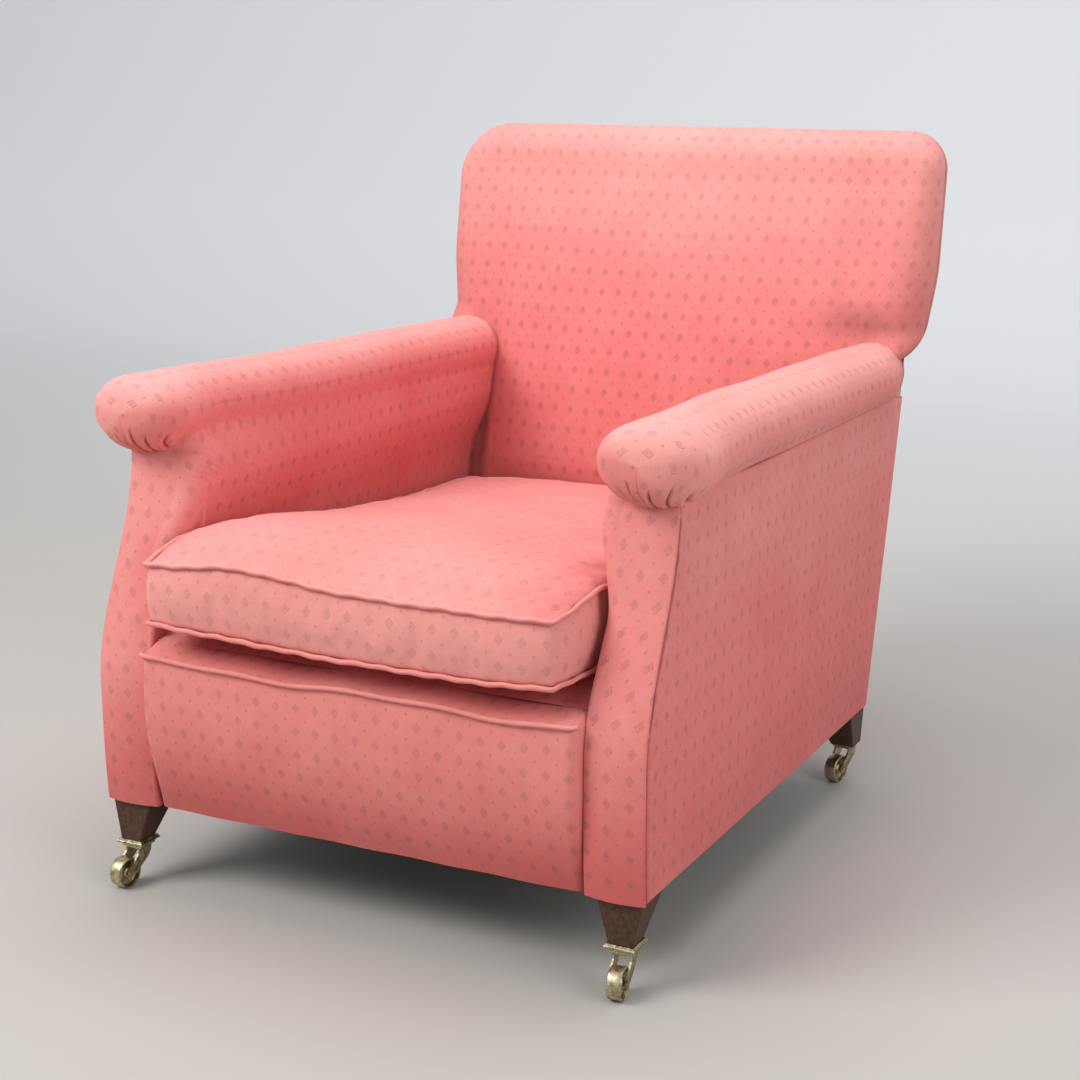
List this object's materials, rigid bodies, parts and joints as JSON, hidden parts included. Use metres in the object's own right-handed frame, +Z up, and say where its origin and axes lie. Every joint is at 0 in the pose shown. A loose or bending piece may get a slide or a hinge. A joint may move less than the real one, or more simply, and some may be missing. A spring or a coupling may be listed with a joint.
{
  "type": "upholstered armchair on castors",
  "caption": "Deep old armchair with low rolled arms, a rolled back, a loose sagging seat cushion and tapered legs on swivelling brass castors.",
  "frame": {"origin": "centre of the bounding box, on the floor", "axes": "+Z up, -Y the way the chair faces, +X to the sitter's left; no joint axis is a frame axis"},
  "size_m": [0.7896, 1.0514, 0.885],
  "materials": {
    "beech_frame": "matte",
    "rose_damask": "matte",
    "jute": "matte",
    "spring_steel": "satin",
    "black_cotton": "matte",
    "stained_leg": "satin",
    "old_brass": "satin"
  },
  "bodies": {
    "chair": {"front_rail": "beech_frame", "back_rail": "beech_frame", "stuffing_rail": "beech_frame", "top_rail": "beech_frame", "arm_post_left": "beech_frame", "back_upright_left": "beech_frame", "side_rail_left": "beech_frame", "arm_rail_left": "beech_frame", "corner_block_front_left": "beech_frame", "corner_block_rear_left": "beech_frame", "arm_post_right": "beech_frame", "back_upright_right": "beech_frame", "side_rail_right": "beech_frame", "arm_rail_right": "beech_frame", "corner_block_front_right": "beech_frame", "corner_block_rear_right": "beech_frame", "outside_arm_left": "rose_damask", "outside_arm_right": "rose_damask", "outside_back": "rose_damask", "front_border": "rose_damask", "border_piping": "rose_damask", "inside_arm_left": "rose_damask", "inside_arm_right": "rose_damask", "arm_facing_left": "rose_damask", "arm_facing_right": "rose_damask", "inside_back": "rose_damask", "seat_cushion": "rose_damask", "cushion_piping_top": "rose_damask", "cushion_piping_bottom": "rose_damask", "seat_webbing": "jute", "spring_hessian": "jute", "seat_platform": "jute", "spring_1": "spring_steel", "spring_2": "spring_steel", "spring_3": "spring_steel", "spring_4": "spring_steel", "spring_5": "spring_steel", "spring_6": "spring_steel", "spring_7": "spring_steel", "spring_8": "spring_steel", "spring_9": "spring_steel", "dust_cover": "black_cotton", "leg_front_left": "stained_leg", "castor_plate_front_left": "old_brass", "leg_front_right": "stained_leg", "castor_plate_front_right": "old_brass", "leg_rear_left": "stained_leg", "castor_plate_rear_left": "old_brass", "leg_rear_right": "stained_leg", "castor_plate_rear_right": "old_brass"},
    "fork_front_left": {"castor_fork_front_left": "old_brass"},
    "wheel_front_left": {"castor_wheel_front_left": "old_brass"},
    "fork_front_right": {"castor_fork_front_right": "old_brass"},
    "wheel_front_right": {"castor_wheel_front_right": "old_brass"},
    "fork_rear_left": {"castor_fork_rear_left": "old_brass"},
    "wheel_rear_left": {"castor_wheel_rear_left": "old_brass"},
    "fork_rear_right": {"castor_fork_rear_right": "old_brass"},
    "wheel_rear_right": {"castor_wheel_rear_right": "old_brass"}
  },
  "joints": [
    {"name": "castor_swivel_front_left", "type": "hinge", "parent": "chair", "child": "fork_front_left", "pos_m": [0.3295, -0.468, 0.047], "axis": [0, 0, 1], "continuous": true},
    {"name": "castor_roll_front_left", "type": "hinge", "parent": "fork_front_left", "child": "wheel_front_left", "pos_m": [0.33255, -0.49281, 0.019], "axis": [0.9925, 0.1219, 0], "continuous": true},
    {"name": "castor_swivel_front_right", "type": "hinge", "parent": "chair", "child": "fork_front_right", "pos_m": [-0.3295, -0.468, 0.047], "axis": [0, 0, 1], "continuous": true},
    {"name": "castor_roll_front_right", "type": "hinge", "parent": "fork_front_right", "child": "wheel_front_right", "pos_m": [-0.33255, -0.49281, 0.019], "axis": [0.9925, -0.1219, 0], "continuous": true},
    {"name": "castor_swivel_rear_left", "type": "hinge", "parent": "chair", "child": "fork_rear_left", "pos_m": [0.33, 0.274, 0.047], "axis": [0, 0, 1], "continuous": true},
    {"name": "castor_roll_rear_left", "type": "hinge", "parent": "fork_rear_left", "child": "wheel_rear_left", "pos_m": [0.32523, 0.24946, 0.019], "axis": [0.9816, -0.1908, 0], "continuous": true},
    {"name": "castor_swivel_rear_right", "type": "hinge", "parent": "chair", "child": "fork_rear_right", "pos_m": [-0.33, 0.274, 0.047], "axis": [0, 0, 1], "continuous": true},
    {"name": "castor_roll_rear_right", "type": "hinge", "parent": "fork_rear_right", "child": "wheel_rear_right", "pos_m": [-0.32523, 0.24946, 0.019], "axis": [0.9816, 0.1908, 0], "continuous": true}
  ]
}
